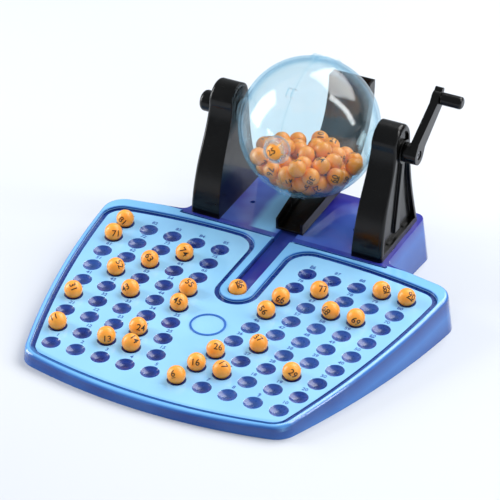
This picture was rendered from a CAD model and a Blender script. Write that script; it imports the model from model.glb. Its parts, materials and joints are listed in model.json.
import json
import math
import random

import bmesh
import bpy
from mathutils import Matrix, Vector


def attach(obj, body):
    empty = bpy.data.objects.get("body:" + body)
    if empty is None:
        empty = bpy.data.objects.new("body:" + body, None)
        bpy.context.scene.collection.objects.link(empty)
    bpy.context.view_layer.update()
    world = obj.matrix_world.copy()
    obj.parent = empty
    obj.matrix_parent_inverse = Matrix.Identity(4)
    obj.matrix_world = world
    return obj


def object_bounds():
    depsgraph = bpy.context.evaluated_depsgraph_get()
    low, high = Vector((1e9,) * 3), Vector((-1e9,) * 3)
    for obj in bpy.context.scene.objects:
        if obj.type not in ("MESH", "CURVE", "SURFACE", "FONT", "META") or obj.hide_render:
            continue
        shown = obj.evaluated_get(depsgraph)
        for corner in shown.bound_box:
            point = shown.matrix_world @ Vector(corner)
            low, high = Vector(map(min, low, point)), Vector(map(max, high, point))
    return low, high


# Looks for the bingo cage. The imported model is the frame; this script gives every node its
# plastic, prints the numbers, and sets the floor, the lights and the camera. Metres throughout.
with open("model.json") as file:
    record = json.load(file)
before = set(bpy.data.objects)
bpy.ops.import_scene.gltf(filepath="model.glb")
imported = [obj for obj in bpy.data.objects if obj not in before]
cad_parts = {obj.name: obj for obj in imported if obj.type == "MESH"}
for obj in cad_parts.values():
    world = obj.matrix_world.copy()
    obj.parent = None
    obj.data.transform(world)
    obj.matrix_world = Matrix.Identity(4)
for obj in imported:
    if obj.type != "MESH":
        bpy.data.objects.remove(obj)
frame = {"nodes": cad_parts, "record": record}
cad_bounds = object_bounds()
nodes = frame["nodes"]
record = frame["record"]
joints = {joint["name"]: joint for joint in record["behaviour"]["joints"]}

MM = 0.001
PITCH = 18 * MM
ROWS = 9
BALL_R = 6 * MM
AXLE_ALONG = 11.72 * PITCH
AXLE_UP = 65 * MM
RECESS = 1.5 * MM
DECK_START = 9.5 * PITCH
GROOVE_MIDDLE = 8.1 * PITCH

axle = Vector(joints["globe_spin"]["pos_m"])
along = Vector(joints["drawn_ball_roll"]["axis"]).normalized()  # up the tray's slope
across = Vector((1, 0, 0))
lift = across.cross(along)  # square to the tray
tray_origin = axle - along * AXLE_ALONG - lift * AXLE_UP  # rim plane, middle of the front row


def on_tray(x, y, up):
    """A point given across the tray, along it and above its rim plane."""
    return tray_origin + across * x + along * y + lift * up


def cup_place(row, column, side):
    """Where a cup lies across and along the tray; the rows fan out towards the back."""
    spread = 0.5276 + column + 0.2992 * row - 0.01746 * row**2
    return side * spread * PITCH, 0.98 * row * PITCH


# ---------------------------------------------------------------- material helpers
class Shader:
    """A node tree under construction, so that each material reads as a short list of steps."""

    def __init__(self, name):
        self.material = bpy.data.materials.new(name)
        self.material.use_nodes = True
        self.tree = self.material.node_tree
        self.tree.nodes.clear()
        self.output = self.tree.nodes.new("ShaderNodeOutputMaterial")
        self.place = self.node("ShaderNodeTexCoord").outputs["Object"]

    def node(self, kind, settings=None, **inputs):
        made = self.tree.nodes.new(kind)
        for key, value in (settings or {}).items():
            setattr(made, key, value)
        for key, value in inputs.items():
            self.put(made.inputs[key.replace("_", " ")], value)
        return made

    def put(self, socket, value):
        if isinstance(value, bpy.types.NodeSocket):
            self.tree.links.new(value, socket)
        elif isinstance(value, (tuple, list)) and len(value) == 3 and socket.type == "RGBA":
            socket.default_value = (*value, 1)
        else:
            socket.default_value = value

    def math(self, operation, first, second=0.0, clamp=False):
        made = self.node("ShaderNodeMath", {"operation": operation, "use_clamp": clamp})
        self.put(made.inputs[0], first)
        self.put(made.inputs[1], second)
        return made.outputs[0]

    def multiply_add(self, first, second, third):
        made = self.node("ShaderNodeMath", {"operation": "MULTIPLY_ADD"})
        for socket, value in zip(made.inputs, (first, second, third)):
            self.put(socket, value)
        return made.outputs[0]

    def dot(self, direction, offset=0.0):
        made = self.node("ShaderNodeVectorMath", {"operation": "DOT_PRODUCT"})
        self.put(made.inputs[0], self.place)
        made.inputs[1].default_value = direction
        return self.math("ADD", made.outputs["Value"], offset)

    def noise(self, size, detail=3.0, rough=0.5):
        made = self.node("ShaderNodeTexNoise", Scale=1 / size, Detail=detail, Roughness=rough)
        self.put(made.inputs["Vector"], self.place)
        return made.outputs["Fac"]

    def span(self, value, low, high, out_low=0.0, out_high=1.0, smooth=True):
        kind = "SMOOTHSTEP" if smooth else "LINEAR"
        made = self.node("ShaderNodeMapRange", {"interpolation_type": kind})
        for index, item in enumerate((value, low, high, out_low, out_high)):
            self.put(made.inputs[index], item)
        return made.outputs[0]

    def ramp(self, value, stops):
        made = self.node("ShaderNodeValToRGB")
        self.put(made.inputs["Fac"], value)
        band = made.color_ramp
        while len(band.elements) < len(stops):
            band.elements.new(0.5)
        for element, (position, colour) in zip(band.elements, stops):
            element.position = position
            element.color = (*colour, 1)
        return made.outputs["Color"]

    def blend(self, factor, first, second):
        made = self.node("ShaderNodeMix", {"data_type": "RGBA"})
        self.put(made.inputs[0], factor)
        self.put(made.inputs[6], first)
        self.put(made.inputs[7], second)
        return made.outputs[2]

    def bump(self, height, distance, strength=1.0, over=None):
        made = self.node("ShaderNodeBump", Strength=strength, Distance=distance)
        self.put(made.inputs["Height"], height)
        if over is not None:
            self.put(made.inputs["Normal"], over)
        return made.outputs["Normal"]

    def soft_edges(self, radius):
        """Normals rounded near edges, which catch the light as moulded edges do."""
        return self.node("ShaderNodeBevel", {"samples": 6}, Radius=radius).outputs[0]

    def mix(self, factor, first, second):
        made = self.node("ShaderNodeMixShader")
        self.put(made.inputs[0], factor)
        self.put(made.inputs[1], first)
        self.put(made.inputs[2], second)
        return made.outputs[0]

    def finish(self, surface):
        self.put(self.output.inputs["Surface"], surface)
        return self.material


def srgb(red, green, blue):
    """A colour given as 0 to 255 display values."""
    return tuple((value / 255) ** 2.2 for value in (red, green, blue))


# ---------------------------------------------------------------- materials
def tray_plastic():
    """Translucent blue plastic: pale on the flat panel, deeper in the cups, channels and skirt."""
    sh = Shader("tray_blue_plastic")
    depth = sh.math("MULTIPLY", sh.dot(lift, -tray_origin.dot(lift)), -1.0)
    y = sh.dot(along, -tray_origin.dot(along))
    signed_x = sh.dot(across)
    x = sh.math("ABSOLUTE", signed_x)
    # half width of the tray, a parabola: 5.5 pitches at the front row, 6.5 at row 5, 7.2 at the deck
    y_pitch = sh.math("DIVIDE", y, PITCH)
    half = sh.multiply_add(sh.multiply_add(y_pitch, -0.0124, 0.296), y_pitch, 5.5)
    side_gap = sh.math("SUBTRACT", sh.math("MULTIPLY", half, PITCH), x)
    # the front edge is an arc with a radius of 18.5 pitches
    front_gap = sh.multiply_add(sh.math("MULTIPLY", x, x), -1 / (37 * PITCH), 1.68 * PITCH)
    front_gap = sh.math("ADD", front_gap, y)
    rim = sh.math("MINIMUM", side_gap, front_gap)
    inside = sh.span(rim, 0.3 * MM, 2.8 * MM)
    # beside the ball groove nothing on the panel is this deep, so it is an outer wall
    off_middle = sh.span(x, 8 * MM, 9 * MM)
    outer_wall = sh.math("MULTIPLY", off_middle, sh.span(depth, 3.9 * MM, 4.4 * MM))
    inside = sh.math("MULTIPLY", inside, sh.math("SUBTRACT", 1.0, outer_wall))
    deck = sh.span(y, DECK_START - 0.3 * MM, DECK_START + 0.3 * MM)
    cloudy = sh.noise(46 * MM, 2.0)
    fine = sh.noise(2.2 * MM, 4.0)
    panel = sh.ramp(
        sh.span(depth, 0.0, 6 * MM, smooth=False),
        [
            (0.0, srgb(126, 190, 238)),
            (0.05, srgb(92, 156, 222)),
            (0.10, srgb(44, 94, 176)),
            (0.235, srgb(52, 104, 184)),
            (0.246, srgb(146, 202, 240)),
            (0.256, srgb(146, 202, 240)),
            (0.275, srgb(36, 74, 150)),
            (0.33, srgb(22, 48, 120)),
            (0.44, srgb(24, 54, 136)),
            (0.58, srgb(14, 30, 92)),
        ],
    )
    # the channel is shallow and lit along the front edge, so it stays pale there
    panel = sh.blend(sh.span(front_gap, 8 * MM, 11 * MM, 0.55, 0.0), panel, srgb(104, 168, 228))
    skirt = sh.ramp(
        sh.span(depth, 0.0, 30 * MM, smooth=False),
        [
            (0.0, srgb(116, 180, 234)),
            (0.03, srgb(46, 98, 178)),
            (0.08, srgb(18, 56, 132)),
            (0.20, srgb(26, 72, 152)),
            (0.42, srgb(52, 112, 190)),
            (0.80, srgb(26, 72, 150)),
            (1.0, srgb(16, 50, 122)),
        ],
    )
    # light gathers in pale streaks beside the chute; the rest of the deck is a deeper violet blue
    wavy_x = sh.multiply_add(cloudy, 14 * MM, signed_x)
    off_streak = sh.math("ABSOLUTE", sh.math("ADD", wavy_x, 10 * MM))
    streak = sh.span(off_streak, 5 * MM, 13 * MM, 1.0, 0.0)
    glow = sh.span(cloudy, 0.42, 0.62, 0.0, 0.6)
    top = sh.blend(glow, srgb(52, 46, 150), srgb(82, 112, 204))
    top = sh.blend(streak, top, srgb(126, 194, 240))
    # the channel in front of the deck, and the deck beside it, are darker
    front_band = sh.span(y, DECK_START + 3.5 * MM, DECK_START + 5.0 * MM, 1.0, 0.0)
    top = sh.blend(front_band, top, srgb(50, 50, 146))
    wall = sh.ramp(
        sh.span(depth, 2 * MM, 30 * MM, smooth=False),
        [(0.0, srgb(40, 62, 160)), (0.3, srgb(46, 98, 184)), (1.0, srgb(24, 64, 146))],
    )
    shelf = sh.blend(sh.span(depth, 1.3 * MM, 2.0 * MM), top, wall)
    groove_floor = sh.math("MULTIPLY", sh.span(depth, 5.0 * MM, 5.15 * MM), sh.span(x, 7.5 * MM, 7.0 * MM))
    from_middle = sh.math("ABSOLUTE", sh.math("SUBTRACT", y, GROOVE_MIDDLE))
    along_groove = sh.span(from_middle, 2.5 * PITCH, 2.9 * PITCH, 1.0, 0.0)
    groove_floor = sh.math("MULTIPLY", groove_floor, along_groove)
    colour = sh.blend(deck, sh.blend(inside, skirt, panel), shelf)
    colour = sh.blend(groove_floor, colour, srgb(52, 50, 150))
    colour = sh.blend(sh.span(cloudy, 0.35, 0.7, 0.0, 0.16), colour, srgb(84, 146, 220))
    # the cups shine less than the rest
    beside_groove = sh.math("MULTIPLY", off_middle, sh.math("SUBTRACT", 1.0, deck))
    hollow = sh.math("MULTIPLY", inside, sh.span(depth, 1.6 * MM, 1.9 * MM))
    hollow = sh.math("MULTIPLY", hollow, beside_groove)
    body = sh.node(
        "ShaderNodeBsdfPrincipled",
        Base_Color=colour,
        Roughness=sh.multiply_add(hollow, 0.16, sh.span(fine, 0.3, 0.7, 0.09, 0.18)),
        IOR=1.49,
        Normal=sh.bump(sh.noise(5 * MM, 2.0), 0.02 * MM, 0.35),
    )
    body.inputs["Coat Weight"].default_value = 0.35
    body.inputs["Coat Roughness"].default_value = 0.03
    through = sh.node("ShaderNodeBsdfTransparent", Color=srgb(140, 195, 245))
    facing = sh.node("ShaderNodeLayerWeight", Blend=0.35).outputs["Facing"]
    opaque = sh.span(facing, 0.0, 1.0, 0.90, 1.0)
    return sh.finish(sh.mix(opaque, through.outputs[0], body.outputs[0]))


def black_plastic():
    """Glossy black moulding with a faint moulding texture and handling marks."""
    sh = Shader("black_gloss_plastic")
    cloud = sh.noise(14 * MM, 3.0)
    grain = sh.noise(0.6 * MM, 3.0, 0.6)
    stretched = sh.node("ShaderNodeMapping", Vector=sh.place, Scale=(1, 9, 1.4))
    scuff = sh.node("ShaderNodeTexNoise", Vector=stretched.outputs[0], Scale=260.0, Detail=5.0)
    worn = sh.span(scuff.outputs["Fac"], 0.64, 0.80, 0.0, 0.35)
    colour = sh.blend(cloud, srgb(8, 8, 8), srgb(17, 16, 15))
    colour = sh.blend(worn, colour, srgb(40, 39, 38))
    body = sh.node(
        "ShaderNodeBsdfPrincipled",
        Base_Color=colour,
        Roughness=sh.math("ADD", sh.span(cloud, 0.3, 0.7, 0.17, 0.27), sh.math("MULTIPLY", worn, 0.25)),
        IOR=1.46,
        Normal=sh.bump(grain, 0.010 * MM, 0.5, over=sh.soft_edges(0.9 * MM)),
    )
    body.inputs["Specular IOR Level"].default_value = 0.3
    body.inputs["Coat Weight"].default_value = 0.14
    body.inputs["Coat Roughness"].default_value = 0.08
    return sh.finish(body.outputs[0])


def clear_plastic(name, tint, edge, haze, gloss_rough, gloss):
    """Clear plastic wall: see-through, with its own reflections, a little haze and a deeper edge.

    A line of sight through the globe crosses four of these surfaces, so each one takes little.
    """
    sh = Shader(name)
    swirl = sh.noise(30 * MM, 2.0)
    wavy = sh.bump(sh.noise(22 * MM, 1.0), 0.2 * MM, 0.10)
    facing = sh.node("ShaderNodeLayerWeight", Blend=0.5, Normal=wavy).outputs["Facing"]
    rim = sh.span(facing, 0.5, 0.99)
    through = sh.node("ShaderNodeBsdfTransparent", Color=sh.blend(rim, tint, edge))
    milk = sh.node("ShaderNodeBsdfDiffuse", Color=srgb(196, 226, 244), Normal=wavy)
    shine = sh.node("ShaderNodeBsdfGlossy", Color=(1, 1, 1), Roughness=gloss_rough, Normal=wavy)
    hazy = sh.math("ADD", haze, sh.span(swirl, 0.35, 0.7, 0.0, 0.02))
    hazy = sh.multiply_add(rim, 0.10, hazy)
    wall = sh.mix(hazy, through.outputs[0], milk.outputs[0])
    bounce = sh.multiply_add(sh.math("POWER", facing, 4.0), gloss, 0.035)
    return sh.finish(sh.mix(bounce, wall, shine.outputs[0]))


def ball_plastic(name, dark, light):
    """Satin orange ball: moulded colour with slight cloudiness and fine scratches."""
    sh = Shader(name)
    cloud = sh.noise(7 * MM, 2.0)
    speck = sh.noise(0.5 * MM, 3.0)
    colour = sh.blend(cloud, dark, light)
    body = sh.node(
        "ShaderNodeBsdfPrincipled",
        Base_Color=colour,
        Roughness=sh.span(speck, 0.3, 0.7, 0.32, 0.45),
        IOR=1.46,
        Normal=sh.bump(speck, 0.01 * MM, 0.5),
    )
    body.inputs["Subsurface Weight"].default_value = 0.2
    body.inputs["Subsurface Radius"].default_value = (1.0, 0.4, 0.12)
    body.inputs["Subsurface Scale"].default_value = 1.8 * MM
    body.inputs["Coat Weight"].default_value = 0.15
    body.inputs["Coat Roughness"].default_value = 0.25
    return sh.finish(body.outputs[0])


def print_ink(name, dark, light):
    """Printed ink, slightly uneven in density."""
    sh = Shader(name)
    patchy = sh.noise(0.8 * MM, 3.0)
    body = sh.node(
        "ShaderNodeBsdfPrincipled",
        Base_Color=sh.blend(sh.span(patchy, 0.3, 0.75), dark, light),
        Roughness=sh.span(patchy, 0.3, 0.7, 0.35, 0.55),
    )
    return sh.finish(body.outputs[0])


def screw_steel():
    """Zinc-plated screw, turned rings on the head."""
    sh = Shader("screw_plated_steel")
    rings = sh.node("ShaderNodeTexNoise", Vector=sh.place, Scale=1400.0, Detail=2.0)
    body = sh.node(
        "ShaderNodeBsdfPrincipled",
        Base_Color=sh.blend(rings.outputs["Fac"], srgb(150, 150, 156), srgb(205, 205, 208)),
        Metallic=1.0,
        Roughness=sh.span(rings.outputs["Fac"], 0.3, 0.7, 0.22, 0.4),
        Normal=sh.bump(rings.outputs["Fac"], 0.01 * MM, 0.5),
    )
    return sh.finish(body.outputs[0])


def floor_paint():
    """Plain pale studio floor with a barely visible unevenness."""
    sh = Shader("studio_floor")
    body = sh.node(
        "ShaderNodeBsdfPrincipled",
        Base_Color=sh.blend(sh.noise(0.4, 2.0), srgb(194, 198, 204), srgb(203, 206, 211)),
        Roughness=0.6,
    )
    return sh.finish(body.outputs[0])


tray_blue = tray_plastic()
black = black_plastic()
globe_clear = clear_plastic(
    "globe_clear_plastic", srgb(245, 252, 254), srgb(186, 224, 240), 0.006, gloss_rough=0.10, gloss=0.5
)
outlet_clear = clear_plastic(
    "outlet_clear_plastic", srgb(244, 250, 253), srgb(205, 228, 240), 0.10, gloss_rough=0.06, gloss=0.7
)
ball_orange = ball_plastic("ball_orange_plastic", srgb(240, 138, 44), srgb(250, 176, 72))
# the globe's wall pales what lies behind it, so the balls in the globe have a deeper orange
ball_deep = ball_plastic("ball_deep_orange_plastic", srgb(240, 126, 26), srgb(250, 158, 50))
ball_ink = print_ink("ball_number_ink", srgb(34, 24, 16), srgb(74, 52, 30))
tray_ink = print_ink("tray_number_ink", srgb(30, 64, 140), srgb(54, 96, 172))
steel = screw_steel()

FINISHES = {
    "base_tray": tray_blue,
    "left_stand": black,
    "right_stand": black,
    "ball_chute": black,
    "chute_screws": steel,
    "globe_left_half": globe_clear,
    "globe_right_half": globe_clear,
    "outlet_ring": outlet_clear,
    "left_axle_cap": black,
    "left_cap_screw": steel,
    "crank_arm": black,
    "crank_screw": steel,
    "crank_grip": black,
}
for name, thing in nodes.items():
    ball = ball_deep if name.startswith("globe_balls_layer") else ball_orange
    finish_material = FINISHES.get(name, ball)
    if not thing.material_slots:
        thing.data.materials.append(finish_material)
    for holder in thing.material_slots:
        holder.material = finish_material


# ---------------------------------------------------------------- printed numbers
def number_mesh(text, height, thickness):
    """Flat lettering of a number, centred, as a closed thin solid; x right, y up, z out."""
    curve = bpy.data.curves.new("number", "FONT")
    curve.body = text
    curve.size = height / 0.72
    curve.align_x = "CENTER"
    curve.extrude = thickness / 2
    curve.offset = height * 0.012
    curve.resolution_u = 3
    holder = bpy.data.objects.new("number", curve)
    bpy.context.scene.collection.objects.link(holder)
    bpy.context.view_layer.update()
    evaluated = holder.evaluated_get(bpy.context.evaluated_depsgraph_get())
    mesh = bpy.data.meshes.new_from_object(evaluated)
    bpy.data.objects.remove(holder)
    bpy.data.curves.remove(curve)
    mesh.transform(Matrix.Translation((0, -height / 2, thickness / 2)))
    return mesh


def add_bar(bm, width, y, thickness):
    """The bar under a number that could be read upside down."""
    half, low, high = width / 2, y, y + width * 0.14
    corners = [(-half, low), (half, low), (half, high), (-half, high)]
    bottom = [bm.verts.new((x, z, 0)) for x, z in corners]
    top = [bm.verts.new((x, z, thickness)) for x, z in corners]
    bm.faces.new(bottom[::-1])
    bm.faces.new(top)
    for i in range(4):
        j = (i + 1) % 4
        bm.faces.new((bottom[i], bottom[j], top[j], top[i]))


def refine(bm, longest):
    """Cuts long edges, so that the lettering can follow a curved surface."""
    for _ in range(3):
        long_edges = [edge for edge in bm.edges if edge.calc_length() > longest]
        if not long_edges:
            return
        bmesh.ops.subdivide_edges(bm, edges=long_edges, cuts=1)
        bmesh.ops.triangulate(bm, faces=[face for face in bm.faces if len(face.verts) > 3])


TURNABLE = {"6", "9", "60", "66", "68", "86", "89", "90"}


def lettering(text, height, thickness, longest):
    bm = bmesh.new()
    mesh = number_mesh(text, height, thickness)
    bm.from_mesh(mesh)
    bpy.data.meshes.remove(mesh)
    if text in TURNABLE:
        add_bar(bm, height * 0.62 * len(text), -height * 0.72, thickness)
    bmesh.ops.triangulate(bm, faces=bm.faces[:])
    refine(bm, longest)
    flat = bpy.data.meshes.new("lettering")
    bm.to_mesh(flat)
    bm.free()
    return flat


def gather(name, meshes, material, body):
    """One object from several meshes, riding on a body."""
    bm = bmesh.new()
    for mesh in meshes:
        bm.from_mesh(mesh)
        bpy.data.meshes.remove(mesh)
    joined = bpy.data.meshes.new(name)
    bm.to_mesh(joined)
    bm.free()
    joined.materials.append(material)
    piece = bpy.data.objects.new(name, joined)
    bpy.context.scene.collection.objects.link(piece)
    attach(piece, body)


def ball_centres(node):
    """Centres of the balls in a node, from its separate spheres."""
    bm = bmesh.new()
    bm.from_mesh(nodes[node].data)
    bmesh.ops.remove_doubles(bm, verts=bm.verts[:], dist=1e-6)
    unseen = set(bm.verts)
    centres = []
    while unseen:
        stack = [unseen.pop()]
        low, high = stack[0].co.copy(), stack[0].co.copy()
        while stack:
            vert = stack.pop()
            for i in range(3):
                low[i] = min(low[i], vert.co[i])
                high[i] = max(high[i], vert.co[i])
            for edge in vert.link_edges:
                other = edge.other_vert(vert)
                if other in unseen:
                    unseen.remove(other)
                    stack.append(other)
        centres.append((low + high) / 2)
    bm.free()
    return sorted(centres, key=lambda centre: tuple(round(value, 5) for value in centre))


BALL_TEXT = 4.4 * MM
MOST_TURN = 0.8  # numbers that face the viewer are turned from upright by at most this
INK = 0.05 * MM
lettering_store = {}


def ball_number(number, centre, outward, turn):
    """A number wrapped on a ball, facing outward, turned about that direction."""
    text = str(number)
    if text not in lettering_store:
        lettering_store[text] = lettering(text, BALL_TEXT, INK, 0.7 * MM)
    mesh = lettering_store[text].copy()
    level = across - outward * across.dot(outward)
    right = Matrix.Rotation(turn, 3, outward) @ level.normalized()
    up = outward.cross(right)
    for vert in mesh.vertices:
        flat = Vector((vert.co.x, vert.co.y))
        angle = flat.length / BALL_R
        sideways = (right * flat.x + up * flat.y).normalized() if flat.length > 1e-9 else right
        reach = BALL_R + 0.03 * MM + vert.co.z
        vert.co = centre + (outward * math.cos(angle) + sideways * math.sin(angle)) * reach
    return mesh


def numbered_balls(node, body, numbers, dice, facing=None):
    """Prints each ball of a node on two opposite sides."""
    prints = []
    for centre, number in zip(ball_centres(node), numbers):
        outward = Vector((dice.gauss(0, 1), dice.gauss(0, 1), dice.gauss(0, 1))).normalized()
        if facing is not None:
            outward = (facing + outward * 0.55).normalized()
        most = math.pi if facing is None else MOST_TURN
        for side in (outward, -outward):
            prints.append(ball_number(number, centre, side, dice.uniform(-most, most)))
    gather(f"{node}_numbers", prints, ball_ink, body)


def cup_number(row, x):
    """The number of the cup nearest to a place across the tray."""
    places = sorted(cup_place(row, column, side)[0] for column in range(5) for side in (-1, 1))
    nearest = min(range(10), key=lambda i: abs(places[i] - x))
    return row * 10 + nearest + 1


dice = random.Random(5)
to_viewer = Vector((0.35, -0.72, 0.6)).normalized()
left_over = set(range(1, 91))
for row in range(ROWS):
    node = f"called_balls_row_{row + 1}"
    numbers = [cup_number(row, centre.x) for centre in ball_centres(node)]
    left_over -= set(numbers)
    numbered_balls(node, "root", numbers, dice, to_viewer)
pool = sorted(left_over)
dice.shuffle(pool)
numbered_balls("drawn_ball", "drawn", [pool.pop()], dice, to_viewer)
numbered_balls("outlet_ball", "globe", [pool.pop()], dice, Vector((0.1, -1, 0.2)))
for node in sorted(name for name in nodes if name.startswith("globe_balls_layer")):
    count = len(ball_centres(node))
    numbered_balls(node, "root", [pool.pop() for _ in range(count)], dice)

TRAY_TEXT = 3.0 * MM
TRAY_INK = 0.12 * MM
BEHIND_CUP = 9.2 * MM  # from the middle of a cup to its number
for row in range(ROWS):
    marks = []
    for side in (-1, 1):
        for column in range(5):
            x, y = cup_place(row, column, side)
            mesh = lettering(str(cup_number(row, x)), TRAY_TEXT, TRAY_INK, 5 * MM)
            place = Matrix((across, along, lift)).transposed().to_4x4()
            place.translation = on_tray(x, y + BEHIND_CUP, -RECESS)
            mesh.transform(place)
            marks.append(mesh)
    gather(f"tray_numbers_row_{row + 1}", marks, tray_ink, "root")

# ---------------------------------------------------------------- camera
CAMERA_AZIMUTH = math.radians(25.58)
CAMERA_ELEVATION = math.radians(29.40)
CAMERA_ROLL = math.radians(2.36)
CAMERA_DISTANCE = 2.016
CAMERA_LENS = 222.3
low, high = cad_bounds
middle = (Vector(low) + Vector(high)) / 2
aim = axle + Vector((3.7, -92.1, -48.6)) * MM
back = Vector(
    (
        math.sin(CAMERA_AZIMUTH) * math.cos(CAMERA_ELEVATION),
        -math.cos(CAMERA_AZIMUTH) * math.cos(CAMERA_ELEVATION),
        math.sin(CAMERA_ELEVATION),
    )
)
camera = bpy.data.objects.new("camera", bpy.data.cameras.new("camera"))
camera.data.lens = CAMERA_LENS
camera.data.sensor_width = 36.0
camera.location = aim + back * CAMERA_DISTANCE
turned = (-back).to_track_quat("-Z", "Y") @ Matrix.Rotation(CAMERA_ROLL, 3, "Z").to_quaternion()
camera.rotation_mode = "QUATERNION"
camera.rotation_quaternion = turned
bpy.context.scene.collection.objects.link(camera)
bpy.context.scene.camera = camera


# ---------------------------------------------------------------- floor and lights
def make_floor():
    half = 4.0
    mesh = bpy.data.meshes.new("floor")
    corners = [(-half, -half, 0), (half, -half, 0), (half, half, 0), (-half, half, 0)]
    mesh.from_pydata(corners, [], [(0, 1, 2, 3)])
    mesh.materials.append(floor_paint())
    floor = bpy.data.objects.new("floor", mesh)
    floor.location.z = low[2] - 0.05 * MM
    bpy.context.scene.collection.objects.link(floor)


def softbox(name, direction, distance, width, height, power, mirrored=True):
    """A rectangular studio light, aimed at the object from a direction."""
    light = bpy.data.lights.new(name, "AREA")
    light.shape = "RECTANGLE"
    light.size, light.size_y = width, height
    light.energy = power
    lamp = bpy.data.objects.new(name, light)
    way = Vector(direction).normalized()
    lamp.location = middle + way * distance
    lamp.rotation_mode = "QUATERNION"
    lamp.rotation_quaternion = way.to_track_quat("Z", "Y")
    lamp.visible_glossy = mirrored
    bpy.context.scene.collection.objects.link(lamp)


def seen_on_globe(right_part, up_part):
    """Direction of a lamp whose reflection shows at this place on the globe, as the camera sees it."""
    spin = turned.to_matrix()
    normal = Vector((right_part, up_part, math.sqrt(1 - right_part**2 - up_part**2)))
    bounce = 2 * normal.z * normal - Vector((0, 0, 1))
    return spin @ bounce


make_floor()
softbox("left_softbox", seen_on_globe(-0.66, 0.30), 1.3, 0.6, 1.1, 17)
softbox("top_softbox", seen_on_globe(0.36, 0.62), 1.5, 1.3, 1.1, 24)
softbox("front_fill", (0.5, -1.0, 0.9), 2.2, 1.6, 1.2, 16, mirrored=False)
softbox("right_strip", (1.0, 0.3, 0.8), 1.5, 0.2, 1.4, 10)

world = bpy.data.worlds.new("studio")
world.use_nodes = True
backdrop = world.node_tree.nodes["Background"]
backdrop.inputs["Color"].default_value = (0.82, 0.88, 0.95, 1)
backdrop.inputs["Strength"].default_value = 0.38
bpy.context.scene.world = world
bpy.context.scene.view_settings.view_transform = "Standard"
